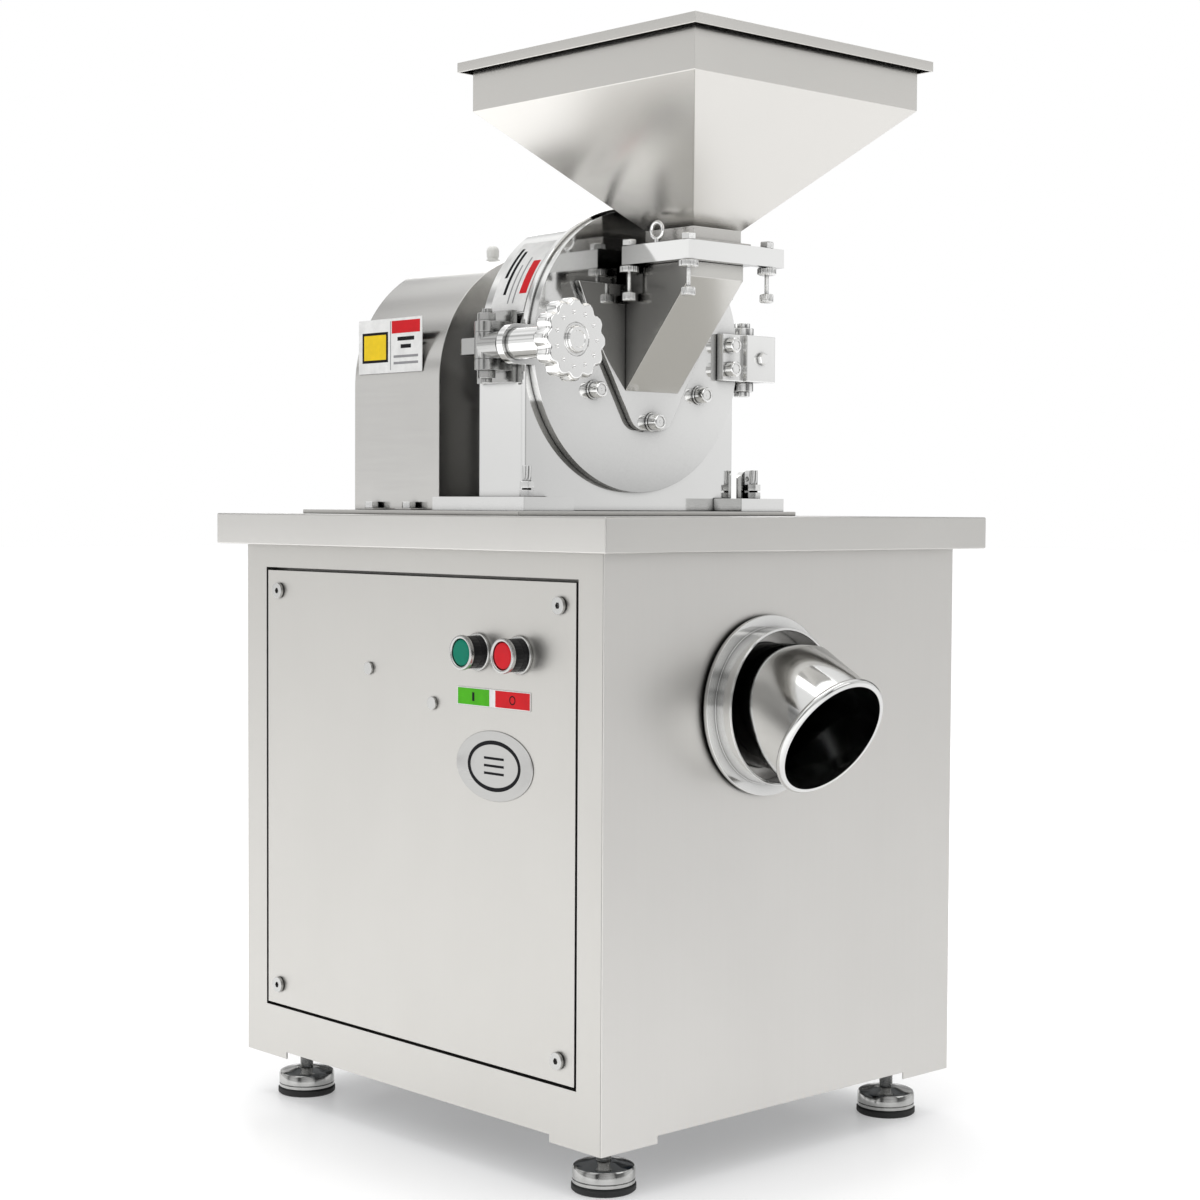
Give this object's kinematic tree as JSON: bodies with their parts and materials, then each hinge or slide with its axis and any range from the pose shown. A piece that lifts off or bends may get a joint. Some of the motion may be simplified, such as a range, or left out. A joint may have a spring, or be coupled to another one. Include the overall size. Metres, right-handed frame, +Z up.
{
  "type": "hammer mill",
  "caption": "Floor-standing stainless hammer mill: square hopper and slide gate on a hinged round door, arched chamber and belt guard on a cabinet with a tilted outlet spout.",
  "frame": {"origin": "on the floor, under the middle of the whole mill", "axes": "+Z up, -Y the outlet and mill door face, -X the button face"},
  "size_m": [0.601, 0.7844, 1.2025],
  "materials": {
    "satin_steel": "satin brushed stainless sheet",
    "polished_steel": "polished stainless",
    "steel_frame": "grey primer",
    "motor_paint": "semi-gloss enamel",
    "cast_steel": "machined",
    "black_plastic": "moulded",
    "green_plastic": "gloss",
    "red_plastic": "gloss",
    "label_film": "printed film",
    "belt_rubber": "matt",
    "foot_steel": "turned steel with a rubber pad",
    "white_plastic": "moulded"
  },
  "bodies": {
    "frame": {"access_panel": "satin_steel", "badge": "satin_steel", "base_plate": "satin_steel", "bearing_housing": "cast_steel", "belt_guard": "polished_steel", "button_bezels": "polished_steel", "button_bodies": "black_plastic", "button_label": "label_film", "cabinet_frame": "steel_frame", "cable_gland": "polished_steel", "chamber_plate": "polished_steel", "chamber_shell": "polished_steel", "contactor_box": "black_plastic", "discharge_duct": "polished_steel", "drive_belts": "belt_rubber", "foot_brackets": "polished_steel", "front_panel": "satin_steel", "hinge_bracket": "polished_steel", "latch_clevis": "polished_steel", "latch_eye": "polished_steel", "left_panel": "satin_steel", "mill_fasteners": "polished_steel", "motor": "motor_paint", "motor_platform": "steel_frame", "notice_plates": "label_film", "oil_cap": "white_plastic", "outlet_collar": "polished_steel", "outlet_elbow": "polished_steel", "panel_screws": "polished_steel", "rear_panel": "satin_steel", "right_panel": "satin_steel", "screen_ring": "polished_steel", "table_top": "satin_steel"},
    "door": {"door_disc": "polished_steel", "door_bolts": "polished_steel", "hinge_ear": "polished_steel", "stator_ring": "cast_steel", "feed_flange": "polished_steel", "feed_chute": "polished_steel", "gate_frame": "polished_steel", "latch_sleeve": "polished_steel", "hopper": "satin_steel"},
    "gate": {"slide_gate": "polished_steel"},
    "clamp": {"clamp_screw": "polished_steel", "handwheel": "polished_steel"},
    "thumb_1": {"thumb_screw_1": "polished_steel"},
    "thumb_2": {"thumb_screw_2": "polished_steel"},
    "thumb_3": {"thumb_screw_3": "polished_steel"},
    "thumb_4": {"thumb_screw_4": "polished_steel"},
    "start_button": {"start_cap": "green_plastic"},
    "stop_button": {"stop_cap": "red_plastic"},
    "rotor": {"rotor_shaft": "cast_steel", "rotor_disc": "cast_steel", "driven_pulley": "cast_steel"},
    "motor_rotor": {"motor_shaft": "cast_steel"},
    "leveller_1": {"foot_1": "foot_steel"},
    "leveller_2": {"foot_2": "foot_steel"},
    "leveller_3": {"foot_3": "foot_steel"},
    "leveller_4": {"foot_4": "foot_steel"}
  },
  "joints": [
    {"name": "door_hinge", "type": "hinge", "parent": "frame", "child": "door", "pos_m": [0.1865, -0.00701, 0.882], "axis": [0, 0, 1], "range_deg": [0, 110]},
    {"name": "handwheel_spin", "type": "hinge", "parent": "door", "child": "clamp", "pos_m": [-0.1845, -0.06101, 0.882], "axis": [0, 1, 0], "continuous": true},
    {"name": "gate_slide", "type": "slide", "parent": "door", "child": "gate", "axis": [1, 0, 0], "range_m": [0, 0.08]},
    {"name": "start_press", "type": "slide", "parent": "frame", "child": "start_button", "axis": [1, 0, 0], "range_m": [0, 0.004], "stiffness_N_per_m": 500, "springref_m": -0.001},
    {"name": "stop_press", "type": "slide", "parent": "frame", "child": "stop_button", "axis": [1, 0, 0], "range_m": [0, 0.004], "stiffness_N_per_m": 500, "springref_m": -0.001},
    {"name": "rotor_spin", "type": "hinge", "parent": "frame", "child": "rotor", "pos_m": [0.0005, 0.03899, 0.882], "axis": [0, 1, 0], "continuous": true},
    {"name": "motor_spin", "type": "hinge", "parent": "frame", "child": "motor_rotor", "pos_m": [0.0005, 0.16899, 0.252], "axis": [0, 1, 0], "continuous": true},
    {"name": "thumb_1_spin", "type": "hinge", "parent": "door", "child": "thumb_1", "pos_m": [-0.0415, -0.14301, 0.997], "axis": [0, 0, 1], "continuous": true},
    {"name": "thumb_2_spin", "type": "hinge", "parent": "door", "child": "thumb_2", "pos_m": [-0.0415, -0.04901, 0.997], "axis": [0, 0, 1], "continuous": true},
    {"name": "thumb_3_spin", "type": "hinge", "parent": "door", "child": "thumb_3", "pos_m": [0.0835, -0.14301, 0.997], "axis": [0, 0, 1], "continuous": true},
    {"name": "thumb_4_spin", "type": "hinge", "parent": "door", "child": "thumb_4", "pos_m": [0.0835, -0.04901, 0.997], "axis": [0, 0, 1], "continuous": true},
    {"name": "leveller_1_spin", "type": "hinge", "parent": "frame", "child": "leveller_1", "pos_m": [-0.2245, -0.21101, 0.052], "axis": [0, 0, 1], "continuous": true},
    {"name": "leveller_2_spin", "type": "hinge", "parent": "frame", "child": "leveller_2", "pos_m": [-0.2245, 0.31399, 0.052], "axis": [0, 0, 1], "continuous": true},
    {"name": "leveller_3_spin", "type": "hinge", "parent": "frame", "child": "leveller_3", "pos_m": [0.2255, -0.21101, 0.052], "axis": [0, 0, 1], "continuous": true},
    {"name": "leveller_4_spin", "type": "hinge", "parent": "frame", "child": "leveller_4", "pos_m": [0.2255, 0.31399, 0.052], "axis": [0, 0, 1], "continuous": true}
  ],
  "couplings": [
    {"joint": "motor_spin", "follows": "rotor_spin", "ratio": 1.2243}
  ]
}
